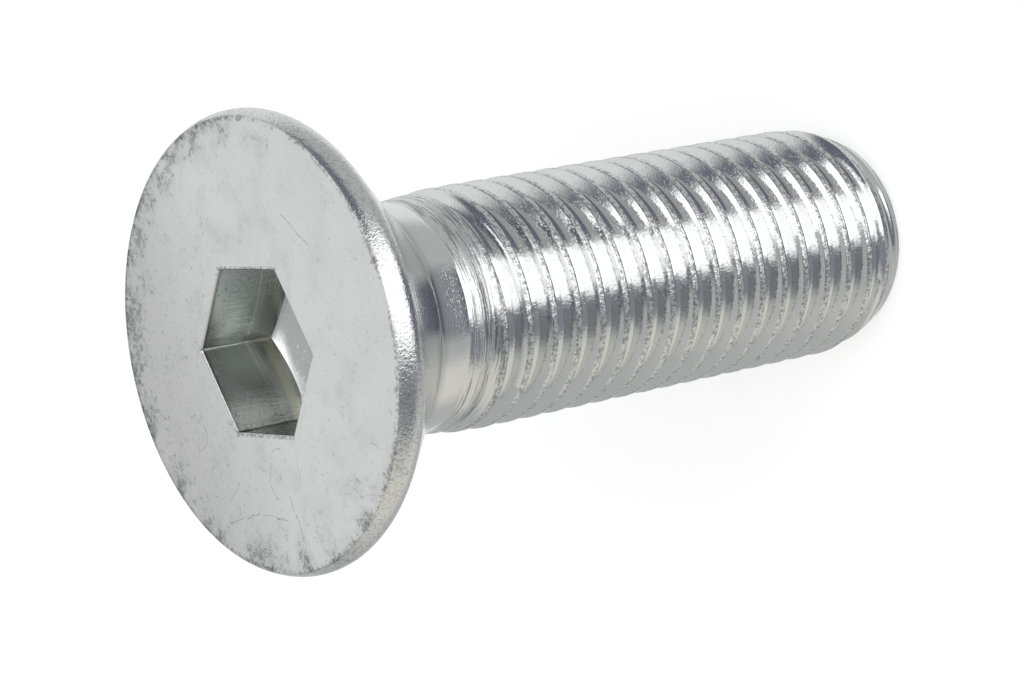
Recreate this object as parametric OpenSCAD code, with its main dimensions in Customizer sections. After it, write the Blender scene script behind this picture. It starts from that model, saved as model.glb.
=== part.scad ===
// Countersunk socket screw with a metric coarse thread that runs up to the neck.
// The screw is one forged and thread-rolled piece. Its axis is Z, the flat face
// of the head is at z = 0 and the shank goes down, so it stands on its flat tip.

/* [Shank] */
// Length from the flat face of the head to the tip
length = 49.6; // [40:0.1:60]
// Thread diameter by name, before the crest allowance
nominal_d = 16; // [15:0.1:18]
// Distance from one crest to the next
pitch = 2; // [1.75:0.05:2.5]
// How much smaller than its name the thread measures over its crests
crest_allowance = 0.3; // [0.1:0.02:0.32]
// Flank angle of the thread, between two facing flanks
flank_angle = 60; // [55:1:62]
// Angle about the axis at which the thread ends under the head
thread_turn = 0; // [0:5:355]
// Diameter of the plain neck, which is the blank that the thread is rolled on
neck_d = 14.8; // [14.4:0.1:15.4]
// Depth below the flat face at which the plain neck ends
neck_end = 11.2; // [10.6:0.1:13]
// Length over which the thread rises from the blank to its full form
run_out = 3.4; // [1.5:0.1:4.5]
// Diameter of the flat end of the tip
tip_d = 13.3; // [12.4:0.1:14]
// Length over which the tip rounds in from the full thread
tip_taper = 3.8; // [2.4:0.1:5]
// How round the taper is: 1 is straight, 2 is a full curve
tip_bulge = 1.5; // [1:0.1:2]
// Length of the smooth end of the tip, before the thread starts
tip_land = 0.4; // [0.3:0.05:0.8]

/* [Head] */
// Largest diameter of the head
head_d = 29.1; // [28:0.1:32]
// Angle of the countersunk seat, across both sides
seat_angle = 90; // [86:1:94]
// Radius of the rounded rim
rim_r = 1.5; // [1.3:0.05:1.8]
// Depth below the flat face of the rim's widest point
rim_drop = 1; // [0.7:0.05:1.2]
// Radius of the fillet where the seat meets the neck
neck_fillet = 1.2; // [0.6:0.1:2]

/* [Hexagon socket] */
// Width across the socket's flats
socket_w = 10; // [9:0.1:11]
// Depth of the socket at its corners
socket_depth = 5.4; // [4.5:0.1:6]
// Angle of the conical bottom of the socket
socket_point_angle = 130; // [120:1:150]
// Width of the chamfer round the socket's mouth
socket_lead_in = 0.2; // [0.1:0.05:0.4]

/* [Hidden] */

$fn = 96;
steel = [0.72, 0.74, 0.75];

head_r = head_d / 2;
neck_r = neck_d / 2;
tip_r = tip_d / 2;
thread_r = (nominal_d - crest_allowance) / 2;
z_tip = -length;
z_neck_end = -neck_end;

// Head profile: the rim is an arc that runs tangent into the seat.
seat_half = seat_angle / 2;
rim_x = head_r - rim_r;
rim_z = -rim_drop;
face_r = rim_x + sqrt(rim_r * rim_r - rim_drop * rim_drop);
seat_top_x = rim_x + rim_r * cos(seat_half);
seat_top_z = rim_z - rim_r * sin(seat_half);
seat_end_z = seat_top_z - (seat_top_x - neck_r) / tan(seat_half);
// Length that the fillet takes off each of the two lines it joins.
fillet_run = neck_fillet * tan(seat_half / 2);

// Thread profile over one pitch, as [height above the crest's middle, radius].
// The crest is flat, the flanks are straight and the root is rounded off.
flank_slope = tan(flank_angle / 2);
thread_h = pitch / (2 * flank_slope);
crest_half = pitch / 16 + crest_allowance / 2 * flank_slope;
root_half = pitch / 8;
flank_foot_r = nominal_d / 2 - 5 / 8 * thread_h;
root_r = nominal_d / 2 - 17 / 24 * thread_h;
PROFILE = [
    [-crest_half, thread_r],
    [crest_half, thread_r],
    [pitch / 2 - root_half, flank_foot_r],
    [pitch / 2, root_r],
    [pitch / 2 + root_half, flank_foot_r]
];
STEPS = len(PROFILE);

// The thread's mesh: sectors in one turn, whole turns, and where they lie.
sectors = 48;
entry_rows = sectors / 3;
core_r = neck_r - 0.05;
seat_overlap = pitch + 0.3;
land_overlap = 0.15;
z_ring_top = z_neck_end + seat_overlap;
z_ring_low = z_tip + tip_land - land_overlap;
ring_gap = 0.1;
turns = floor((z_ring_top - z_ring_low - 2 * ring_gap) / pitch) - 1;
rows = sectors * turns;
z_start = z_ring_top - ring_gap - (turns + 1) * pitch + crest_half;

// Largest radius at a height: the tip rounds in below the full thread.
function taper_r(z) =
    let (short = max(0, 1 - (z - z_tip) / tip_taper))
    thread_r - (thread_r - tip_r) * pow(short, tip_bulge);

// Smooth step from 0 to 1.
function ease(t) = let (u = min(1, max(0, t))) u * u * (3 - 2 * u);

// A point of the thread: row j turns about the axis and climbs, step k is the profile's.
// The groove deepens over the first rows at the tip and fades into the neck.
function thread_point(j, k) =
    let (
        z = z_start + pitch * j / sectors + PROFILE[k][0],
        fade = ease((z_neck_end - z) / run_out),
        form = core_r + (PROFILE[k][1] - core_r) * fade,
        limit = taper_r(z),
        r = limit - max(0, limit - form) * ease(j / entry_rows),
        a = 360 * j / sectors
    )
    [r * cos(a), r * sin(a), z];

function ring(r, z) = [for (i = [0 : sectors - 1])
    [r * cos(360 * i / sectors), r * sin(360 * i / sectors), z]];

// Place of a thread point in the list of points. The step after a row's last
// one is the first step of the row one turn higher.
function at(j, k) =
    k == STEPS ? at(j + sectors, 0)
    : j <= rows ? j * STEPS + k
    : (rows + 1) * STEPS + j - rows - 1;

module thread() {
    climb = [for (j = [0 : rows], k = [0 : STEPS - 1]) thread_point(j, k)];
    last_turn = [for (j = [rows + 1 : rows + sectors]) thread_point(j, 0)];
    low = len(climb) + len(last_turn);
    top = low + sectors;
    points = concat(
        climb,
        last_turn,
        ring(taper_r(z_ring_low) - 0.03, z_ring_low),
        ring(core_r, z_ring_top));

    flanks = [for (j = [0 : rows - 1], k = [0 : STEPS - 1], half = [0, 1])
        half == 0
            ? [at(j, k), at(j + 1, k + 1), at(j + 1, k)]
            : [at(j, k), at(j, k + 1), at(j + 1, k + 1)]];

    low_band = [for (i = [0 : sectors - 2], half = [0, 1])
        half == 0
            ? [low + i, at(i, 0), at(i + 1, 0)]
            : [low + i, at(i + 1, 0), low + i + 1]];
    low_close = concat(
        [[low + sectors - 1, at(sectors - 1, 0), at(sectors, 0)]],
        [for (k = [STEPS : -1 : 1]) [low + sectors - 1, at(0, k), at(0, k - 1)]],
        [[low + sectors - 1, at(0, 0), low]]);

    top_band = [for (i = [1 : sectors - 1], half = [0, 1])
        let (next = (i + 1) % sectors)
        half == 0
            ? [at(rows + i, 0), top + i, top + next]
            : [at(rows + i, 0), top + next, at(rows + i + 1, 0)]];
    top_close = concat(
        [[at(rows + sectors, 0), top, top + 1]],
        [for (k = [STEPS : -1 : 1]) [at(rows, k), top + 1, at(rows, k - 1)]],
        [[at(rows, 0), top + 1, at(rows + 1, 0)]]);

    caps = [
        [for (i = [0 : sectors - 1]) low + i],
        [for (i = [sectors - 1 : -1 : 0]) top + i]
    ];
    faces = concat(flanks, low_band, low_close, top_band, top_close, caps);
    rotate([0, 0, thread_turn]) polyhedron(points, faces, convexity = 10);
}

// Half section of the head and the plain neck.
module head_section() {
    difference() {
        union() {
            polygon([
                [0, 0],
                [face_r, 0],
                [rim_x, rim_z],
                [seat_top_x, seat_top_z],
                [neck_r, seat_end_z],
                [neck_r, z_neck_end],
                [0, z_neck_end]
            ]);
            intersection() {
                translate([rim_x, rim_z]) circle(r = rim_r);
                translate([0, -2 * rim_r - rim_drop]) square([head_d, 2 * rim_r + rim_drop]);
            }
            polygon([
                [neck_r, seat_end_z],
                [neck_r, seat_end_z - fillet_run],
                [neck_r + fillet_run * sin(seat_half), seat_end_z + fillet_run * cos(seat_half)]
            ]);
        }
        translate([neck_r + neck_fillet, seat_end_z - fillet_run]) circle(r = neck_fillet);
    }
}

// Flat end of the tip, with the taper that the thread takes up above it.
module tip_end() {
    translate([0, 0, z_tip])
        cylinder(r1 = tip_r, r2 = taper_r(z_tip + tip_land), h = tip_land);
}

// Hexagon pressed into the head, with a conical bottom and a chamfered mouth.
module socket() {
    corner_r = socket_w / sqrt(3);
    point_h = corner_r / tan(socket_point_angle / 2);
    above = 1;
    intersection() {
        translate([0, 0, -socket_depth - point_h])
            cylinder(r = corner_r, h = socket_depth + point_h + above, $fn = 6);
        union() {
            translate([0, 0, -socket_depth])
                cylinder(r = corner_r + above, h = socket_depth + above);
            translate([0, 0, -socket_depth - point_h])
                cylinder(r1 = 0, r2 = corner_r, h = point_h);
        }
    }
    mouth = 2 * socket_lead_in / sqrt(3);
    translate([0, 0, -socket_lead_in])
        cylinder(r1 = corner_r, r2 = corner_r + 2 * mouth, h = 2 * socket_lead_in, $fn = 6);
}

module screw() {
    color(steel)
        difference() {
            union() {
                rotate_extrude() head_section();
                thread();
                tip_end();
            }
            socket();
        }
}

screw();
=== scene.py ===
"""Look, light and camera for a countersunk socket screw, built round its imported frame."""

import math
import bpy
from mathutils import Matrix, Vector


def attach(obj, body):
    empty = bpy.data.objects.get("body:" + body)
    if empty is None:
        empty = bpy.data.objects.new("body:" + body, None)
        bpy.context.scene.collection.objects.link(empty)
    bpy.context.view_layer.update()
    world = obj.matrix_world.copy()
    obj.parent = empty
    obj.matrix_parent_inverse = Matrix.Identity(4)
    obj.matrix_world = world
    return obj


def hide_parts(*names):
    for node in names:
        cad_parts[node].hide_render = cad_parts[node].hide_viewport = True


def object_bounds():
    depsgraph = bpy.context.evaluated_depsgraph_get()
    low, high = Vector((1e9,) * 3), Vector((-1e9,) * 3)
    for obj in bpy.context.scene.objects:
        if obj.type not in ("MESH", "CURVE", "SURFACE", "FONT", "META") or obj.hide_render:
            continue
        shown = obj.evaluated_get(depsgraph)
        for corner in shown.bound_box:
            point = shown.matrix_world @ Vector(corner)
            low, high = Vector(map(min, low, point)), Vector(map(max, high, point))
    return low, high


bl_info = {
    "name": "Countersunk Socket Screw",
    "version": (1, 0, 0),
    "blender": (4, 5, 0),
    "location": "View3D > Sidebar > Screw",
    "description": "Models a zinc plated countersunk socket screw and the studio round it",
    "category": "Object",
}

from collections import namedtuple

import bpy
import numpy as np
from mathutils import Matrix, Vector

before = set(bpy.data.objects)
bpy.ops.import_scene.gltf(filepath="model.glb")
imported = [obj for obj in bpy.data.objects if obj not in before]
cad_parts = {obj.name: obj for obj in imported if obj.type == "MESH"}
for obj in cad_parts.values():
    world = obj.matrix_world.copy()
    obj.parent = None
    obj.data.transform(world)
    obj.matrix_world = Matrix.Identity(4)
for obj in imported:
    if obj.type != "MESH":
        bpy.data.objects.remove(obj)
CAD_LOW, CAD_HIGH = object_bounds()

MM = 0.001
TURN = 2 * math.pi

# The camera's place and its three axes, in the screw's frame.
VIEW_PLACE = Vector((-69.183, -166.191, 123.904)) * MM
VIEW_RIGHT = Vector((-0.41083, -0.49493, -0.76568))
VIEW_UP = Vector((0.86826, -0.46856, -0.16300))
VIEW_BACK = -Vector((0.27809, 0.73178, -0.62222))
# Its film width and focal length in millimetres, and its shift as a share of the width.
FILM_WIDTH = 36
FOCAL_LENGTH = 125.25
SHIFT_X = -0.0017
SHIFT_Y = 0.0435


def length_prop(label, about, default):
    """A size property in metres."""
    return bpy.props.FloatProperty(
        name=label,
        description=about,
        default=default,
        subtype="DISTANCE",
        unit="LENGTH",
        precision=5,
    )


def angle_prop(label, about, degrees):
    """An angle property, given in degrees."""
    return bpy.props.FloatProperty(
        name=label, description=about, default=math.radians(degrees), subtype="ANGLE"
    )


def colour_prop(label, about, default):
    """A colour property, linear RGB."""
    return bpy.props.FloatVectorProperty(
        name=label, description=about, default=default, subtype="COLOR", size=3, min=0, max=1
    )


class ScrewSizes(bpy.types.PropertyGroup):
    """Sizes of the screw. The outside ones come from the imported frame."""

    head_radius: length_prop("Head radius", "Radius of the head at its widest", CAD_HIGH.x)
    length: length_prop("Length", "From the flat face to the tip", -CAD_LOW.z)
    rim_radius: length_prop("Rim radius", "Radius of the rounded rim", 1.5 * MM)
    rim_drop: length_prop("Rim drop", "Depth of the rim's widest point", 1.0 * MM)
    seat_half: angle_prop("Seat half angle", "Angle of the seat to the axis", 45)
    crease_radius: length_prop("Crease radius", "Radius where the seat meets the neck", 7.77 * MM)
    neck_radius: length_prop("Neck radius", "Radius of the neck at its narrowest", 7.4 * MM)
    neck_end: length_prop("Neck end", "Depth at which the neck is narrowest", 11.0 * MM)
    run_out_start: length_prop("Run-out start", "Depth at which the thread begins", 11.6 * MM)
    run_out: length_prop("Run-out", "Length over which the thread rises to its full form", 3.4 * MM)
    pitch: length_prop("Pitch", "Distance from one crest to the next", 2.0 * MM)
    crest_radius: length_prop("Crest radius", "Radius over the thread's crests", 7.85 * MM)
    crest_half: length_prop("Crest half width", "Half the width of the crest's flat", 0.21 * MM)
    foot_radius: length_prop("Flank foot radius", "Where the flank meets the root", 7.07 * MM)
    root_radius: length_prop("Root radius", "Radius at the bottom of the groove", 6.785 * MM)
    tip_radius: length_prop("Tip radius", "Radius of the flat end of the tip", 6.65 * MM)
    tip_taper: length_prop("Tip taper", "Length over which the tip rounds in", 3.8 * MM)
    socket_width: length_prop("Socket width", "Across the flats of the hexagon", 10.17 * MM)
    socket_depth: length_prop("Socket depth", "Depth of the socket at its corners", 5.4 * MM)
    socket_cone: angle_prop("Socket cone", "Slope of the socket's conical bottom", 25)
    socket_lead_in: length_prop("Socket lead-in", "Width of the mouth's broken edge", 0.1 * MM)
    socket_corner: length_prop("Socket corner", "Radius in the socket's six corners", 0.25 * MM)
    socket_shift_x: length_prop("Socket shift X", "How far the punch ran off centre", -0.30 * MM)
    socket_shift_y: length_prop("Socket shift Y", "How far the punch ran off centre", 0.26 * MM)


class ScrewFinish(bpy.types.PropertyGroup):
    """Colours of the plating, the marks on it and the studio."""

    zinc: colour_prop("Zinc", "Bright zinc plate", (0.765, 0.775, 0.77))
    bare: colour_prop("Scuffed zinc", "Plate where it is rubbed dark", (0.20, 0.21, 0.215))
    # This colour also paints the shade along the crests' edges and in the dents' rings.
    soot_and_shade: colour_prop("Pits", "Dirt in the pits and scratches", (0.045, 0.045, 0.05))
    floor: colour_prop("Floor", "Pale studio floor", (0.82, 0.82, 0.82))


# ---------------------------------------------------------------- modelling helpers


def deselect_all():
    """Nothing is selected, so the next operator acts on new geometry only."""
    for other in list(bpy.context.selected_objects):
        other.select_set(False)


def edit(mode="EDIT"):
    """Switches the active object into or out of edit mode."""
    bpy.ops.object.mode_set(mode=mode)


def start_point(name, place):
    """A new object in edit mode that holds one vertex at a place."""
    deselect_all()
    bpy.ops.mesh.primitive_plane_add(size=1, location=(0, 0, 0))
    made = bpy.context.object
    made.name = name
    edit()
    bpy.ops.mesh.select_all(action="SELECT")
    bpy.ops.mesh.merge(type="CENTER")
    bpy.ops.transform.translate(value=place)
    return made


def draw_section(name, outline):
    """Draws a half section in the XZ plane, one extruded vertex after another."""
    made = start_point(name, (outline[0][0], 0, outline[0][1]))
    for (r0, z0), (r1, z1) in zip(outline, outline[1:]):
        step = {"value": (r1 - r0, 0, z1 - z0)}
        bpy.ops.mesh.extrude_vertices_move(TRANSFORM_OT_translate=step)
    return made


def arc(cx, cz, radius, start, end, count):
    """Points on an arc in the half section, angles in radians from +X."""
    return [
        (cx + radius * math.cos(a), cz + radius * math.sin(a))
        for a in np.linspace(start, end, count)
    ]


def between(start, end, count):
    """Evenly spaced points from start to end, without start."""
    return [
        (start[0] + (end[0] - start[0]) * t, start[1] + (end[1] - start[1]) * t)
        for t in np.linspace(0, 1, count + 1)[1:]
    ]


def read_points(mesh):
    """The mesh's vertices as an array."""
    flat = np.empty(len(mesh.vertices) * 3)
    mesh.vertices.foreach_get("co", flat)
    return flat.reshape(-1, 3)


def write_points(mesh, points):
    """Puts an array back as the mesh's vertices."""
    mesh.vertices.foreach_set("co", np.ascontiguousarray(points).ravel())
    mesh.update()


def select_ring(made, height, tolerance=0.004):
    """Selects the open edges that lie at one height."""
    edit("OBJECT")
    mesh = made.data
    uses = np.zeros(len(mesh.edges), dtype=int)
    loops = np.empty(len(mesh.loops), dtype=int)
    mesh.loops.foreach_get("edge_index", loops)
    np.add.at(uses, loops, 1)
    heights = read_points(mesh)[:, 2]
    for part in (mesh.polygons, mesh.edges, mesh.vertices):
        part.foreach_set("select", np.zeros(len(part), dtype=bool))
    ends = np.empty(len(mesh.edges) * 2, dtype=int)
    mesh.edges.foreach_get("vertices", ends)
    level = (abs(heights[ends.reshape(-1, 2)] - height) < tolerance).all(axis=1)
    chosen = level & (uses == 1)
    mesh.edges.foreach_set("select", chosen)
    vertices = np.zeros(len(mesh.vertices), dtype=bool)
    vertices[np.unique(ends.reshape(-1, 2)[chosen])] = True
    mesh.vertices.foreach_set("select", vertices)
    edit()
    bpy.ops.mesh.select_mode(type="EDGE")


def ease(t):
    """Smooth step from 0 to 1, on arrays too."""
    t = np.clip(t, 0, 1)
    return t * t * (3 - 2 * t)


# ---------------------------------------------------------------- the screw


class Shape:
    """The screw's sizes in millimetres, and what follows from them."""

    SECTORS = 192

    def __init__(self, sizes):
        for key in ScrewSizes.__annotations__:
            value = getattr(sizes, key)
            plain = key in ("seat_half", "socket_cone")
            setattr(self, key, value if plain else value / MM)
        self.tip_z = -self.length
        self.rim_x = self.head_radius - self.rim_radius
        self.face_radius = self.rim_x + math.sqrt(self.rim_radius**2 - self.rim_drop**2)
        half = self.seat_half
        self.seat_top = (
            self.rim_x + self.rim_radius * math.cos(half),
            -self.rim_drop - self.rim_radius * math.sin(half),
        )
        self.crease_z = self.seat_top[1] - (self.seat_top[0] - self.crease_radius) / math.tan(half)
        self.corner = self.socket_width / math.sqrt(3)
        self.mouth = self.corner + 2 * self.socket_lead_in / math.sqrt(3)
        self.thread_top = -self.neck_end - 0.1
        self.thread_low = self.tip_z + 0.35

    def blank(self, z):
        """Radius over the crests: it rises from the neck, stays, and rounds in at the tip."""
        depths = (0.0, 0.35, 0.75, 1.1, 1.8, 2.2, 2.6, 3.0, 3.4, 4.5)
        rises = (0.0, 0.04, 0.24, 0.35, 0.49, 0.58, 0.73, 0.83, 0.89, 1.0)
        share = np.interp(-self.neck_end - z, depths, rises)
        rise = self.neck_radius + (self.crest_radius - self.neck_radius) * share
        return np.minimum(rise, self.taper(z))

    def taper(self, z):
        """Largest radius at a height: the tip rounds in below the full thread."""
        short = np.clip(1 - (z - self.tip_z) / self.tip_taper, 0, None)
        return self.crest_radius - (self.crest_radius - self.tip_radius) * short**1.5


# Space along the axis between the neck's last ring and the thread's top, which a bridge closes.
JOIN_GAP = 0.15


def head_section(s):
    """Half section of the socket, the face, the rim, the seat and the neck."""
    apex = (0, -s.socket_depth - s.corner * math.tan(s.socket_cone))
    foot = (s.corner, -s.socket_depth)
    lip = (s.corner, -s.socket_lead_in)
    mouth = (s.mouth, 0)
    face = (s.face_radius, 0)
    rim_start = math.atan2(s.rim_drop, s.face_radius - s.rim_x)
    rim = arc(s.rim_x, -s.rim_drop, s.rim_radius, rim_start, -s.seat_half, 15)
    # The neck tapers in from a soft crease to its narrowest ring.
    taper_start = (s.crease_radius - 0.035, s.crease_z - 0.1)
    taper_end = (s.neck_radius + 0.05, -s.neck_end + 0.3)
    crease = [
        (s.crease_radius + 0.03, s.crease_z + 0.03),
        (s.crease_radius - 0.01, s.crease_z - 0.03),
    ]
    neck = crease + [taper_start] + between(taper_start, taper_end, 8)
    neck += [
        (s.neck_radius + 0.02, -s.neck_end + 0.15),
        (s.neck_radius + 0.003, s.thread_top + JOIN_GAP),
    ]
    seat_end = (s.crease_radius + 0.08, s.crease_z + 0.08)
    outline = [apex] + between(apex, foot, 9) + between(foot, lip, 12)
    outline += between(lip, mouth, 2) + between(mouth, face, 22)
    outline += rim[1:] + between(s.seat_top, seat_end, 12)
    return outline + neck


def hexagon_point(s, turns):
    """Place on a hexagon of unit corner radius with rounded corners, by turns round it."""
    side = np.floor(turns * 6)
    along = turns * 6 - side
    along = along - 0.8 * np.sin(TURN * along) / TURN
    radius = s.socket_corner / s.corner
    reach = radius * math.tan(math.pi / 6)
    edge = np.where(along < 0.5, along, 1 - along)
    lean = np.clip(edge / reach, 0, 1) * math.pi / 6
    centre = 1 - radius / math.cos(math.pi / 6)
    straight = edge > reach
    # Seen from the nearer corner: distance out, and distance along the side.
    out = np.where(straight, 1 - edge * 0.5, centre + radius * np.cos(lean))
    across = np.where(straight, edge * math.cos(math.pi / 6), radius * np.sin(lean))
    near_turn = np.where(along < 0.5, side, side + 1) / 6 * TURN
    across = np.where(along < 0.5, across, -across)
    x = out * np.cos(near_turn) - across * np.sin(near_turn)
    y = out * np.sin(near_turn) + across * np.cos(near_turn)
    return x, y


def press_hexagon(s, points):
    """Moves the round rings of the socket and the face onto the hexagon."""
    x, y, z = points.T
    r = np.hypot(x, y)
    turns = (np.arctan2(y, x) / TURN) % 1.0
    hx, hy = hexagon_point(s, turns)
    inside = (r < s.mouth + 0.01) & (z > -s.socket_depth - 4)
    face = (z > -0.01) & (r >= s.mouth + 0.01)
    weight = np.where(z < -s.socket_depth - 0.01, r / s.corner, 1.0) * inside
    weight = weight + face * (1 - ease((r - s.mouth) / 4.5))
    cx, cy = np.cos(turns * TURN), np.sin(turns * TURN)
    points[:, 0] = r * (cx + (hx - cx) * weight)
    points[:, 1] = r * (cy + (hy - cy) * weight)
    low = inside & (z < -s.socket_depth + 0.01)
    new_r = np.hypot(points[:, 0], points[:, 1])
    points[low, 2] = (-s.socket_depth - (s.corner - new_r) * math.tan(s.socket_cone))[low]
    # The wall's rings bend with its curved foot, less and less towards the mouth.
    wall = inside & (z > -s.socket_depth + 0.01) & (z < -s.socket_lead_in - 0.01)
    sink = (s.corner - new_r) * math.tan(s.socket_cone)
    points[wall, 2] = (z + sink * z / s.socket_depth)[wall]
    carried = np.where(inside, 1.0, weight)
    points[:, 0] += s.socket_shift_x * carried
    points[:, 1] += s.socket_shift_y * carried
    return points


def model_head(s):
    """The head and neck, spun from their half section."""
    head = draw_section("screw", head_section(s))
    bpy.ops.mesh.select_all(action="SELECT")
    bpy.ops.mesh.spin(steps=s.SECTORS, angle=TURN, center=(0, 0, 0), axis=(0, 0, 1))
    bpy.ops.mesh.select_all(action="SELECT")
    bpy.ops.mesh.remove_doubles(threshold=0.001)
    bpy.ops.mesh.normals_make_consistent(inside=False)
    edit("OBJECT")
    write_points(head.data, press_hexagon(s, read_points(head.data)))
    return head


# Height of one crest, and how far a flank runs along the axis for each millimetre it drops.
THREAD_PHASE = -8.788
FLANK_SLOPE = 0.555


def thread_section(s):
    """One pitch of the thread, from the start of one crest to the start of the next."""
    half, mid = s.crest_half, s.pitch / 2
    drop = s.foot_radius - s.root_radius
    crest = [
        (-half - 0.05, s.crest_radius - 0.05),
        (-half + 0.03, s.crest_radius - 0.008),
        (-half / 2 + 0.02, s.crest_radius - 0.003),
        (0, s.crest_radius - 0.009),
        (half / 2 - 0.02, s.crest_radius - 0.003),
        (half - 0.03, s.crest_radius - 0.008),
        (half + 0.05, s.crest_radius - 0.05),
    ]
    flank_start, flank_top = crest[-1]
    foot = mid - flank_start - (flank_top - s.foot_radius) * FLANK_SLOPE
    flank = [
        (flank_start + (mid - foot - flank_start) * t, flank_top + (s.foot_radius - flank_top) * t)
        for t in (0.5, 0.96, 1)
    ]
    # The root is a wide round: steep at first, then nearly level.
    bend = [(mid + foot * t, s.root_radius + drop * k) for t, k in ((-0.92, 0.9), (-0.5, 0.46))]
    root = bend + [(mid, s.root_radius)] + [(2 * mid - h, r) for h, r in reversed(bend)]
    back = [(2 * mid - h, r) for h, r in reversed(flank)]
    close = [(crest[0][0] + s.pitch, crest[0][1])]
    return [(r, h) for h, r in crest + flank + root + back + close]


def shape_thread(s, points):
    """Fades the thread into the neck and rounds it in at the tip."""
    x, y, z = points.T
    r = np.hypot(x, y)
    limit = s.blank(z)
    cut = s.crest_radius - r
    cut = np.maximum(0, cut - np.maximum(0, s.crest_radius - s.taper(z)))
    groove = cut * ease((-s.run_out_start - z) / s.run_out) * ease((z - s.thread_low - 0.25) / 1.6)
    scale = (limit - groove) / r
    points[:, 0] *= scale
    points[:, 1] *= scale
    return points


def model_thread(s):
    """The threaded shank: one pitch of section, turned up its helix and cut to length."""
    turns = int((s.thread_top - s.thread_low) / s.pitch) + 4
    start = s.thread_low - 2.5 * s.pitch
    phase = (THREAD_PHASE - start) % s.pitch
    section = [(r, h + start + phase) for r, h in thread_section(s)]
    thread = draw_section("thread", section)
    edit("OBJECT")
    winding = thread.modifiers.new("winding", "SCREW")
    winding.axis = "Z"
    winding.angle = TURN
    winding.screw_offset = s.pitch
    winding.iterations = turns
    winding.steps = s.SECTORS
    winding.render_steps = s.SECTORS
    bpy.ops.object.modifier_apply(modifier=winding.name)
    edit()
    bpy.ops.mesh.select_all(action="SELECT")
    bpy.ops.mesh.remove_doubles(threshold=0.001)
    bpy.ops.mesh.normals_make_consistent(inside=False)
    edit("OBJECT")
    write_points(thread.data, shape_thread(s, read_points(thread.data)))
    edit()
    for height, up in ((s.thread_top, 1), (s.thread_low, -1)):
        bpy.ops.mesh.select_all(action="SELECT")
        bpy.ops.mesh.bisect(
            plane_co=(0, 0, height), plane_no=(0, 0, up), clear_outer=True, threshold=0.0005
        )
    edit("OBJECT")
    return thread


def close_tip(s):
    """Rounds the tip's edge and closes its flat end, loop after loop."""
    radius, height = s.taper(s.thread_low), s.thread_low
    loops = [(s.tip_radius + 0.02, s.tip_z + 0.22)]
    loops += arc(s.tip_radius - 0.2, s.tip_z + 0.2, 0.2, -0.35, -math.pi / 2, 5)
    loops += [(5.2, s.tip_z), (3.4, s.tip_z + 0.03), (1.6, s.tip_z + 0.06), (0.5, s.tip_z + 0.07)]
    for r, z in loops:
        bpy.ops.mesh.extrude_edges_move()
        k = r / radius
        bpy.ops.transform.resize(value=(k, k, 1), center_override=(0, 0, height))
        bpy.ops.transform.translate(value=(0, 0, z - height))
        radius, height = r, z
    bpy.ops.mesh.edge_face_add()


def join_parts(s, head, thread):
    """Joins head and shank into one closed piece."""
    deselect_all()
    thread.select_set(True)
    head.select_set(True)
    bpy.context.view_layer.objects.active = head
    bpy.ops.object.join()
    neck_ring = s.thread_top + JOIN_GAP
    select_ring(head, (neck_ring + s.thread_top) / 2, tolerance=0.1)
    bpy.ops.mesh.bridge_edge_loops()
    select_ring(head, s.thread_low)
    close_tip(s)
    bpy.ops.mesh.select_all(action="SELECT")
    bpy.ops.mesh.normals_make_consistent(inside=False)
    edit("OBJECT")
    return head


def model_screw(sizes):
    """The whole screw, in metres, with its place in its mesh."""
    s = Shape(sizes)
    screw = join_parts(s, model_head(s), model_thread(s))
    edit()
    bpy.ops.mesh.select_all(action="SELECT")
    bpy.ops.transform.resize(value=(MM, MM, MM), center_override=(0, 0, 0))
    edit("OBJECT")
    bpy.ops.object.shade_smooth_by_angle(angle=math.radians(32))
    return screw


# ---------------------------------------------------------------- shader helpers


class Value:
    """A shader socket, so that an expression on it adds the Math nodes."""

    def __init__(self, tree, socket):
        self.tree = tree
        self.socket = socket

    def math(self, operation, *others):
        inputs = dict(enumerate((self,) + others))
        return self.tree.node("ShaderNodeMath", {"operation": operation}, inputs)

    def __add__(self, other):
        return self.math("ADD", other)

    def __sub__(self, other):
        return self.math("SUBTRACT", other)

    def __rsub__(self, other):
        return self.tree.node("ShaderNodeMath", {"operation": "SUBTRACT"}, {0: other, 1: self})

    def __mul__(self, other):
        return self.math("MULTIPLY", other)

    def __truediv__(self, other):
        return self.math("DIVIDE", other)

    __radd__ = __add__
    __rmul__ = __mul__

    def step(self, low, high):
        """0 below low and 1 above high, smooth between; the other way round if low is higher."""
        flip = low > high
        inputs = {"Value": self, "From Min": min(low, high), "From Max": max(low, high)}
        if flip:
            inputs["To Min"], inputs["To Max"] = 1.0, 0.0
        kind = {"interpolation_type": "SMOOTHSTEP"}
        return self.tree.node("ShaderNodeMapRange", kind, inputs)


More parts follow.
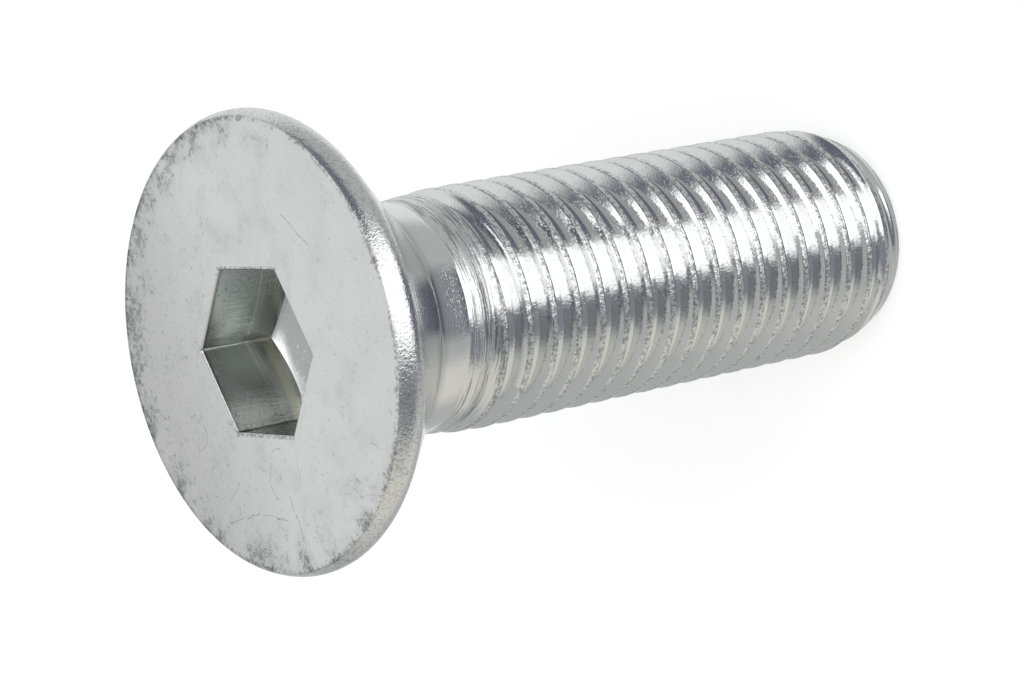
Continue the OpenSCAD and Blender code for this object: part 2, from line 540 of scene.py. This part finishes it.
class Finish:
    """The node tree of a material or a world."""

    def __init__(self, owner):
        owner.use_nodes = True
        self.tree = owner.node_tree
        self.tree.nodes.clear()

    def node(self, kind, settings=None, inputs=None, output=0):
        """Adds a node, sets it up, feeds its sockets and returns one output."""
        made = self.tree.nodes.new(kind)
        for key, value in (settings or {}).items():
            setattr(made, key, value)
        for key, value in (inputs or {}).items():
            if isinstance(value, Value):
                self.tree.links.new(value.socket, made.inputs[key])
            else:
                made.inputs[key].default_value = value
        return Value(self, made.outputs[output]) if len(made.outputs) else None

    def mix(self, factor, first, second):
        """Mixes two colours."""
        settings = {"data_type": "RGBA"}
        inputs = {0: factor, 6: first, 7: second}
        return self.node("ShaderNodeMix", settings, inputs, output=2)

    def parts(self, vector):
        """The three parts of a vector."""
        split = self.tree.nodes.new("ShaderNodeSeparateXYZ")
        self.tree.links.new(vector.socket, split.inputs[0])
        return [Value(self, out) for out in split.outputs]

    def noise(self, place, scale, detail=3.0, roughness=0.5, distortion=0.0):
        """Cloudy noise of about 0 to 1; scale is in features a millimetre."""
        inputs = {"Vector": place, "Scale": scale, "Detail": detail, "Roughness": roughness}
        inputs["Distortion"] = distortion
        return self.node("ShaderNodeTexNoise", None, inputs)


def rgba(colour):
    """A colour property as a socket value."""
    return (*colour, 1)


# ---------------------------------------------------------------- finish


# Hairline scratches on the face, in millimetres: the points they pass, and their width.
HAIRLINES = [
    (((4.9, -7.8), (3.4, -8.5), (1.8, -9.0)), 0.04),
    (((-7.2, 0.6), (-8.7, 1.7)), 0.03),
    (((-9.0, 3.0), (-10.2, 3.2), (-12.0, 3.5)), 0.04),
    (((-7.3, 9.7), (-7.8, 8.2), (-8.5, 6.6), (-9.2, 5.4), (-10.1, 4.1)), 0.035),
    (((-6.2, 3.6), (-7.4, 4.5), (-8.7, 4.3)), 0.035),
    (((-2.0, 8.3), (-2.6, 10.5)), 0.03),
    (((-5.9, 7.0), (-6.3, 9.3)), 0.03),
    (((-6.2, 2.0), (-6.0, 3.7)), 0.04),
    (((-1.1, 8.4), (-2.0, 8.3)), 0.06),
]
# Small dents and chips on the face, in millimetres: centre and radius.
DENTS = [
    ((-1.88, -13.89), 0.24),
    ((-8.8, -10.7), 0.18),
    ((-12.37, -7.28), 0.2),
    ((11.61, -7.95), 0.26),
]


# Where the finish changes, in millimetres: each edge runs from its first value to its second.
SOCKET_OUT = (6.35, 6.15)
SOCKET_TOP = (-0.05, -0.12)
SOCKET_END = (-9.5, -9.0)
FACE_TOP = (-0.14, -0.04)
RIM_IN = (13.95, 14.2)
RIM_LOW = (-2.3, -1.9)
SEAT_IN = (7.95, 8.3)
SEAT_TOP = (-2.0, -2.4)
SHANK_OUT = (9, 8.5)
NECK_OUT = (8.5, 8.1)
NECK_TOP = (-8.8, -10.2)
ROLLED_TOP = (-10.9, -11.3)
ROLLED_LOW = (-14.4, -13.2)
FULL_THREAD = (-12.6, -13.6)
WALL_LOW = (-5.6, -5.2)
WORN_SIDE = (-12.5, -4.0)
# The same for the crumbs: how far out over the side of the mouth, and along it.
CRUMBS_IN = (5.05, 5.1)
CRUMBS_OUT = (5.38, 5.25)
CRUMBS_ALONG = (3.3, 2.9)

# Tones of the plate, linear.
CLOUDED = (0.68, 0.70, 0.695, 1)
# The face's tone on its +Y side, where it grows darker.
FACE_PLUS_Y_TONE = (0.56, 0.565, 0.56, 1)
SMUDGED = (0.40, 0.405, 0.405, 1)
SEAT_GREY = (0.60, 0.615, 0.62, 1)
WALL_UPPER = (0.57, 0.61, 0.58, 1)
WALL_MIDDLE = (0.66, 0.68, 0.65, 1)
WALL_FOOT = (0.82, 0.81, 0.71, 1)
MOUTH_DIRT = (0.25, 0.27, 0.26, 1)
TURNED_RING = (0.92, 0.92, 0.88, 1)
# Painted shade, partly over a real stain, on one socket wall; and that wall's paler foot.
WALL_STAIN_AND_SHADE = (0.19, 0.20, 0.19, 1)
PALER_FOOT_OF_ONE_WALL = (0.95, 0.93, 0.80, 1)
# Darker tone round the seat's crease and in the socket's bottom.
CREASE_AND_APEX_TONE = (0.42, 0.43, 0.44, 1)
WHITE = (1, 1, 1, 1)


def scratch(f, x, y, start, end, width):
    """Mask of a straight hairline from start to end, in millimetres, fading at its ends."""
    (x0, y0), (x1, y1) = start, end
    span = math.hypot(x1 - x0, y1 - y0)
    dx, dy = (x1 - x0) / span, (y1 - y0) / span
    along = ((x - x0) * dx + (y - y0) * dy) / span
    off = ((x - x0) * dy - (y - y0) * dx).math("ABSOLUTE")
    return off.step(width, width * 0.3) * along.step(-0.02, 0.1) * along.step(1.02, 0.8)


def zinc_material(look, sizes):
    """Bright zinc plate with scuffs, pits, rolling marks and a socket of rougher plate."""
    material = bpy.data.materials.new("zinc_plate")
    f = Finish(material)
    place = f.node("ShaderNodeTexCoord", None, None, output=3)
    mm = f.node("ShaderNodeVectorMath", {"operation": "SCALE"}, {0: place, "Scale": 1 / MM})
    x, y, z = f.parts(mm)
    r = (x * x + y * y).math("SQRT")
    turn = y.math("ARCTAN2", x) / TURN

    # Where things are.
    in_x, in_y = x - sizes.socket_shift_x / MM, y - sizes.socket_shift_y / MM
    out = (in_x * in_x + in_y * in_y).math("SQRT")
    socket = out.step(*SOCKET_OUT) * z.step(*SOCKET_TOP)
    socket = socket * z.step(*SOCKET_END)
    face = z.step(*FACE_TOP) * (1 - socket)
    rim = r.step(*RIM_IN) * z.step(*RIM_LOW)
    seat = r.step(*SEAT_IN) * z.step(*SEAT_TOP)
    roll = z.step(*ROLLED_TOP) * z.step(*ROLLED_LOW)
    pitch = sizes.pitch / MM
    lift = ((z - turn * pitch - THREAD_PHASE) / pitch).math("FRACT")
    from_crest = (lift - 0.5).math("ABSOLUTE")
    full = z.step(*FULL_THREAD) * r.step(*SHANK_OUT)
    crest = from_crest.step(0.36, 0.40) * full

    # Grain of the plating.
    cloud = f.noise(mm, 0.22, 2.0)
    grain = f.noise(mm, 6.5, 2.0, 0.6)
    speck = f.noise(mm, 3.6, 3.0, 0.75)

    # Scuffs gather at the rim, but hardly on its -Y side.
    patchy = f.noise(mm, 0.42, 2.0, 0.6)
    worn = y.step(*WORN_SIDE)
    edge = r.step(11.0, 14.2) * z.step(-2.6, -2.0)
    # The face grows darker towards +Y, and a few more scuffs gather there.
    face_plus_y_side = (x * 0.15 + y * 0.99).step(-1.0, 12.0) * face
    density = edge * patchy.step(0.36, 0.64) * (worn * 0.13 + 0.02) + patchy.step(0.4, 0.75) * 0.04
    density = density + face_plus_y_side * 0.04 - rim * 0.03
    streaks = f.noise(mm, 2.3, 5.0, 0.8, 0.6)
    scuff = (streaks + density).step(0.60, 0.76) * z.step(-2.6, -2.0) * (1 - socket)
    smudge = (streaks * 0.35 + patchy * 0.65 + edge * worn * 0.10).step(0.46, 0.68) * face
    pits = (speck + density * 0.4).step(0.64, 0.72) * (face + rim * 0.6)

    hair = 0.0
    shaken_x, shaken_y = x + patchy * 1.6 - 0.8, y + cloud * 1.6 - 0.8
    for points, width in HAIRLINES:
        for start, end in zip(points, points[1:]):
            hair = scratch(f, shaken_x, shaken_y, start, end, width) + hair
    hair = hair * face * speck.step(0.34, 0.54)
    # Dents and chips are drawn dark, with a darker ring inside their edge that is painted shade of
    # their walls.
    dent_mark_and_shade = 0.0
    for (dx, dy), size in DENTS:
        off = ((x - dx) * (x - dx) + (y - dy) * (y - dy) * 0.4).math("SQRT") + speck * 0.45 - 0.22
        dent_mark_and_shade = off.step(size, size * 0.7) * (off.step(size * 0.2, size * 0.9) * 0.4 + 0.5) + dent_mark_and_shade
    dent_mark_and_shade = dent_mark_and_shade * face
    # A fine dark line with chips where the face turns into the rim.
    lip = r.step(13.8, 14.02) * r.step(14.3, 14.1) * z.step(-0.6, -0.3)
    lip = lip * (speck + patchy * 0.5).step(0.70, 0.84)
    # Crumbs along two sides of the socket's mouth.
    lean_x, lean_y = math.cos(math.pi / 6), math.sin(math.pi / 6)
    over = (in_x * lean_x - in_y * lean_y).math("ABSOLUTE")
    along = (in_x * lean_y + in_y * lean_x).math("ABSOLUTE")
    crumbs = over.step(*CRUMBS_IN) * over.step(*CRUMBS_OUT) * along.step(*CRUMBS_ALONG) * face
    crumbs = crumbs * speck.step(0.42, 0.56)

    # The rolled marks where the thread begins.
    ring = f.node("ShaderNodeCombineXYZ", None, {0: z * 7.0, 1: x * 0.35, 2: y * 0.35})
    rolled = f.noise(ring, 1.0, 3.0, 0.65)
    rolled_dark = rolled.step(0.50, 0.62) * roll

    crest_dark = crest * speck.step(0.46, 0.58)
    # Painted shade: the crest's edge on the tip's side, where it turns down into the hidden flank,
    # is drawn as a broken dark line.
    crest_shade_line = lift.step(0.845, 0.865) * lift.step(0.905, 0.885) * full * speck.step(0.40, 0.52)

    # Inside the socket, by the share of the depth: tool lines, two turned rings, a paler bottom.
    tool = f.node("ShaderNodeCombineXYZ", None, {0: z * 0.5, 1: x * 6.0, 2: y * 6.0})
    tooling = f.noise(tool, 1.0, 3.0, 0.6)
    wall = socket * z.step(*WALL_LOW)
    slope = math.tan(sizes.socket_cone)
    apex = (sizes.socket_depth + sizes.socket_width / math.sqrt(3) * slope) / MM
    level = z / (out * slope - apex)
    rings = (level - 0.63).math("ABSOLUTE").step(0.012, 0.004)
    rings = rings + (level - 0.70).math("ABSOLUTE").step(0.008, 0.002) * 0.6

    clouded = cloud.step(0.35, 0.7) * 0.4 + grain.step(0.3, 0.7) * face * 0.2
    colour = f.mix(clouded, rgba(look.zinc), CLOUDED)
    colour = f.mix(face_plus_y_side * 0.9, colour, FACE_PLUS_Y_TONE)
    colour = f.mix(smudge * (worn * 0.16 + edge * worn * 0.2 + 0.06), colour, SMUDGED)
    colour = f.mix(seat * 0.8, colour, SEAT_GREY)
    inner = f.mix(level.step(0.58, 0.66), WALL_UPPER, WALL_MIDDLE)
    inner = f.mix(level.step(0.80, 0.86), inner, WALL_FOOT)
    inner = f.mix(level.step(0.07, 0.04) * 0.7, inner, MOUTH_DIRT)
    inner = f.mix(rings * 0.7, inner, TURNED_RING)
    inner = f.mix(speck.step(0.62, 0.70) * 0.5, inner, rgba(look.soot_and_shade))
    # One wall is darkened, partly by a stain and partly by painted shade, and is paler at its foot.
    lower = in_y.step(4.8, 5.0) * in_x.step(2.0, -1.0)
    inner = f.mix(lower * level.step(0.82, 0.62) * 0.75, inner, WALL_STAIN_AND_SHADE)
    inner = f.mix(lower * level.step(0.80, 0.84), inner, PALER_FOOT_OF_ONE_WALL)
    colour = f.mix(wall * 0.9, colour, inner)
    # Darker round the crease under the seat and in the socket's bottom.
    crease_and_apex_band = z.step(-6.2, -7.6) * z.step(-9.2, -8.6) * r.step(11, 10)
    colour = f.mix(crease_and_apex_band * 0.4, colour, CREASE_AND_APEX_TONE)
    colour = f.mix(scuff * (grain.step(0.2, 0.6) * 0.40 + 0.30), colour, rgba(look.bare))
    colour = f.mix(pits * 0.5, colour, rgba(look.soot_and_shade))
    colour = f.mix(hair * 0.55 + dent_mark_and_shade * 0.6, colour, rgba(look.soot_and_shade))
    colour = f.mix(lip * 0.5 + crumbs * 0.5, colour, rgba(look.soot_and_shade))
    colour = f.mix(grain.step(0.48, 0.66) * rim * 0.4, colour, rgba(look.bare))
    colour = f.mix(rolled_dark * 0.75, colour, rgba(look.bare))
    colour = f.mix(crest_dark * 0.65, colour, rgba(look.bare))
    # Painted shade along the crests' edges.
    colour = f.mix(crest_shade_line * 0.75, colour, rgba(look.soot_and_shade))

    roughness = 0.10 + face * 0.17 + rim * 0.02 + scuff * 0.16 + crest * 0.06 + roll * 0.04
    roughness = roughness + wall * 0.12

    neck = r.step(*NECK_OUT) * z.step(*NECK_TOP) * (1 - full * 0.45)
    height = grain * (rim * 0.020 + crest * 0.014 + face * 0.006 + 0.003) + speck * crest * 0.042
    height = height + grain.step(0.54, 0.72) * (neck * 0.005 + seat * 0.002) + speck * rim * 0.022
    height = height + speck.step(0.62, 0.70) * socket * 0.01
    height = height + rolled * roll * 0.08 + tooling * wall * 0.02
    bump = f.node("ShaderNodeBump", None, {"Strength": 1.0, "Distance": MM, "Height": height})
    inputs = {"Base Color": colour, "Metallic": 1.0, "Roughness": roughness, "Normal": bump}
    shader = f.node("ShaderNodeBsdfPrincipled", None, inputs)
    f.node("ShaderNodeOutputMaterial", None, {"Surface": shader})
    return material


# The studio's panels. Bearings run from the camera's, elevations from level, in degrees.
Panel = namedtuple("Panel", "bearing half low high soft colour")
ROOM = (0.5, 0.5, 0.5, 1)
# An elevation past the pole, for a panel that reaches it.
OVERHEAD = 120
# The bearing at which the turn is cut; no panel crosses it.
SEAM = -140
PANELS = {
    "far_wall": Panel(155, 45, -70, 50, 20, (0.85, 0.85, 0.85, 1)),
    "warm_reflector": Panel(-85, 25, -60, 50, 20, (0.75, 0.74, 0.68, 1)),
    "side_flag": Panel(75, 35, 10, 60, 10, (0.15, 0.16, 0.20, 1)),
    "camera_flag": Panel(-35, 20, -40, 70, 10, (0.25, 0.26, 0.29, 1)),
    "floor_flag": Panel(5, 40, -OVERHEAD, -50, 15, (0.15, 0.16, 0.20, 1)),
    "key_softbox": Panel(10, 25, -45, 50, 6, (1.8, 1.8, 1.8, 1)),
    "top_softbox": Panel(45, 45, 55, OVERHEAD, 10, (2.0, 2.0, 2.0, 1)),
}
# The floor's own light, and the share of its colour that takes light and shadow.
FLOOR_GLOW = 0.66
FLOOR_SHARE = 0.5
CAMERA_BEARING = math.atan2(VIEW_BACK.y, VIEW_BACK.x)


def within(value, middle, half, soft):
    """1 within half of a middle value and 0 outside it, over a soft edge."""
    settings = {"operation": "MULTIPLY_ADD", "use_clamp": True}
    inputs = {0: (value - middle).math("ABSOLUTE"), 1: -1 / soft, 2: half / soft + 0.5}
    return value.tree.node("ShaderNodeMath", settings, inputs)


def panel_mask(bearing, elevation, panel):
    """Where a panel is seen, from a direction's bearing and elevation in degrees."""
    middle, half = (panel.low + panel.high) / 2, (panel.high - panel.low) / 2
    beside = within(bearing, panel.bearing, panel.half, panel.soft)
    return beside * within(elevation, middle, half, panel.soft)


def floor_material(look):
    """Pale floor: white to the lens with the shadow kept, and clear to the metal's mirror."""
    material = bpy.data.materials.new("studio_floor")
    f = Finish(material)
    glossy = f.node("ShaderNodeLightPath", None, None, output=3)
    lit = rgba([c * FLOOR_SHARE for c in look.floor])
    diffuse = f.node("ShaderNodeBsdfDiffuse", None, {"Color": lit})
    glow = f.node("ShaderNodeEmission", None, {"Color": WHITE, "Strength": FLOOR_GLOW})
    seen = f.node("ShaderNodeAddShader", None, {0: diffuse, 1: glow})
    clear = f.node("ShaderNodeBsdfTransparent", None, {"Color": WHITE})
    surface = f.node("ShaderNodeMixShader", None, {0: glossy, 1: seen, 2: clear})
    f.node("ShaderNodeOutputMaterial", None, {"Surface": surface})
    return material


def build_world():
    """A grey room with a few softboxes, reflectors and flags, white where the lens looks at it."""
    world = bpy.data.worlds.new("studio")
    bpy.context.scene.world = world
    f = Finish(world)
    way = f.node("ShaderNodeTexCoord", None, None, output=0)
    x, y, z = f.parts(way)
    turned_x, turned_y = math.cos(CAMERA_BEARING), math.sin(CAMERA_BEARING)
    along = x * turned_x + y * turned_y
    across = y * turned_x - x * turned_y
    bearing = across.math("ARCTAN2", along) * math.degrees(1)
    bearing = bearing.math("WRAP", SEAM + 360, SEAM)
    elevation = z.math("ARCSINE") * math.degrees(1)
    shade = ROOM
    for panel in PANELS.values():
        shade = f.mix(panel_mask(bearing, elevation, panel), shade, panel.colour)
    seen = f.node("ShaderNodeLightPath", None, None, output=0)
    shade = f.mix(seen, shade, WHITE)
    background = f.node("ShaderNodeBackground", None, {"Color": shade, "Strength": 1.0})
    f.node("ShaderNodeOutputWorld", None, {"Surface": background})


# ---------------------------------------------------------------- operators


class OBJECT_OT_screw_body(bpy.types.Operator):
    """Model the screw: socket, head, neck, thread and tip in one piece"""

    bl_idname = "object.screw_body"
    bl_label = "Screw Body"

    def execute(self, context):
        sizes, look = context.scene.screw_sizes, context.scene.screw_finish
        screw = model_screw(sizes)
        screw.name = "zinc_screw"
        screw.data.name = "zinc_screw"
        screw.data.materials.clear()
        screw.data.materials.append(zinc_material(look, sizes))
        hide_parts("screw")
        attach(screw, "root")
        return {"FINISHED"}


class OBJECT_OT_screw_stage(bpy.types.Operator):
    """Set the pale floor, the studio light and the camera"""

    bl_idname = "object.screw_stage"
    bl_label = "Screw Stage"

    def execute(self, context):
        scene = context.scene
        scene.view_settings.view_transform = "Standard"
        deselect_all()
        bpy.ops.mesh.primitive_plane_add(size=3, location=(0, 0, CAD_LOW.z))
        floor = context.object
        floor.name = "floor"
        floor.data.materials.append(floor_material(scene.screw_finish))
        build_world()
        bpy.ops.object.light_add(type="AREA", location=(-0.15, -0.25, 0.6))
        lamp = context.object
        lamp.name = "overhead_softbox"
        lamp.data.shape = "DISK"
        lamp.data.size = 0.5
        lamp.data.energy = 1.5
        lamp.visible_glossy = False
        lamp.rotation_euler = Vector(lamp.location).to_track_quat("Z", "Y").to_euler()
        bpy.ops.object.camera_add(location=VIEW_PLACE)
        camera = context.object
        turn = Matrix((VIEW_RIGHT, VIEW_UP, VIEW_BACK)).transposed()
        camera.rotation_euler = turn.to_euler()
        camera.data.sensor_width = FILM_WIDTH
        camera.data.lens = FOCAL_LENGTH
        camera.data.shift_x = SHIFT_X
        camera.data.shift_y = SHIFT_Y
        camera.data.clip_start = 0.005
        camera.data.clip_end = 10
        scene.camera = camera
        return {"FINISHED"}


class VIEW3D_PT_screw(bpy.types.Panel):
    """Lists the screw's operators in the sidebar"""

    bl_label = "Countersunk Screw"
    bl_space_type = "VIEW_3D"
    bl_region_type = "UI"
    bl_category = "Screw"

    def draw(self, context):
        for operator in OPERATORS:
            self.layout.operator(operator.bl_idname)
        for group in (context.scene.screw_sizes, context.scene.screw_finish):
            for key in group.__annotations__:
                self.layout.prop(group, key)


OPERATORS = (OBJECT_OT_screw_body, OBJECT_OT_screw_stage)
CLASSES = (ScrewSizes, ScrewFinish, *OPERATORS, VIEW3D_PT_screw)


def register():
    """Registers the classes and their settings."""
    for made in CLASSES:
        bpy.utils.register_class(made)
    bpy.types.Scene.screw_sizes = bpy.props.PointerProperty(type=ScrewSizes)
    bpy.types.Scene.screw_finish = bpy.props.PointerProperty(type=ScrewFinish)


def unregister():
    """Takes the classes and their settings away."""
    del bpy.types.Scene.screw_finish
    del bpy.types.Scene.screw_sizes
    for made in reversed(CLASSES):
        bpy.utils.unregister_class(made)


def main():
    """Builds the screw and its stage."""
    register()
    deselect_all()
    bpy.ops.object.screw_body()
    bpy.ops.object.screw_stage()


if __name__ == "__main__":
    main()
